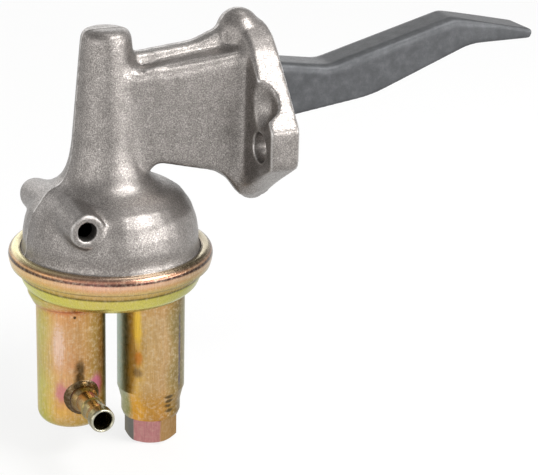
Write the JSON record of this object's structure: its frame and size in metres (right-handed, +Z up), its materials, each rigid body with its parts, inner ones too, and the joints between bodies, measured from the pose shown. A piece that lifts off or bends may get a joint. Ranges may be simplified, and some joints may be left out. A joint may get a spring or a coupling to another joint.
{
  "type": "mechanical fuel pump",
  "caption": "Rocker-arm diaphragm fuel pump with a die-cast flanged housing, plated cup, sealed inlet and outlet chambers, hose nipple and hexagonal outlet fitting.",
  "frame": {"origin": "midway between the two bolt holes on the mounting face", "axes": "+X out of the mounting face along the rocker arm, +Z up along the pump's own axis, +Y to the far side from the hose nipple"},
  "size_m": [0.191, 0.0688, 0.1514],
  "materials": {
    "cast_aluminium": "grainy die-cast, machined at the flange face",
    "zinc_plate": "yellow iridescent zinc dichromate plate",
    "arm_steel": "dark oiled pressed steel",
    "plain_steel": "bare machined steel",
    "spring_steel": "drawn spring wire",
    "valve_rubber": "matt moulded rubber",
    "diaphragm_rubber": "rubber-coated fabric"
  },
  "bodies": {
    "pump_body": {"housing": "cast_aluminium", "lower_cup": "zinc_plate", "inlet_can": "zinc_plate", "inlet_nipple": "zinc_plate", "outlet_can": "zinc_plate", "outlet_fitting": "zinc_plate", "rocker_pin": "plain_steel", "pin_plug": "plain_steel", "rod_seal": "valve_rubber", "seal_retainer": "plain_steel", "diaphragm": "diaphragm_rubber", "diaphragm_spring": "spring_steel", "arm_return_spring": "spring_steel", "inlet_valve_body": "plain_steel", "inlet_valve_bridge": "plain_steel", "inlet_valve_spring": "spring_steel", "outlet_valve_body": "plain_steel", "outlet_valve_bridge": "plain_steel", "outlet_valve_spring": "spring_steel"},
    "rocker": {"rocker_arm": "arm_steel", "pull_link": "plain_steel"},
    "rod": {"pull_rod": "plain_steel", "spring_seat": "plain_steel", "upper_diaphragm_plate": "plain_steel", "lower_diaphragm_plate": "plain_steel"},
    "inlet_valve": {"inlet_valve_disc": "valve_rubber"},
    "outlet_valve": {"outlet_valve_disc": "valve_rubber"}
  },
  "joints": [
    {"name": "arm_pivot", "type": "hinge", "parent": "pump_body", "child": "rocker", "pos_m": [-0.022, 0, 0.005], "axis": [0, 1, 0], "range_deg": [0, 6], "stiffness_Nm_per_rad": 3, "springref_deg": -5.73, "deforming": ["arm_return_spring"]},
    {"name": "rod_slide", "type": "slide", "parent": "pump_body", "child": "rod", "axis": [0, 0, 1], "range_m": [0, 0.0033], "stiffness_N_per_m": 2000, "springref_m": -0.004, "deforming": ["diaphragm", "diaphragm_spring"]},
    {"name": "inlet_valve_lift", "type": "slide", "parent": "pump_body", "child": "inlet_valve", "axis": [0, 0, 1], "range_m": [0, 0.0015], "stiffness_N_per_m": 60, "springref_m": -0.002, "deforming": ["inlet_valve_spring"]},
    {"name": "outlet_valve_lift", "type": "slide", "parent": "pump_body", "child": "outlet_valve", "axis": [0, 0, -1], "range_m": [0, 0.0015], "stiffness_N_per_m": 60, "springref_m": -0.002, "deforming": ["outlet_valve_spring"]}
  ],
  "couplings": [
    {"joint": "rod_slide", "follows": "arm_pivot", "m_per_rad": 0.031}
  ]
}
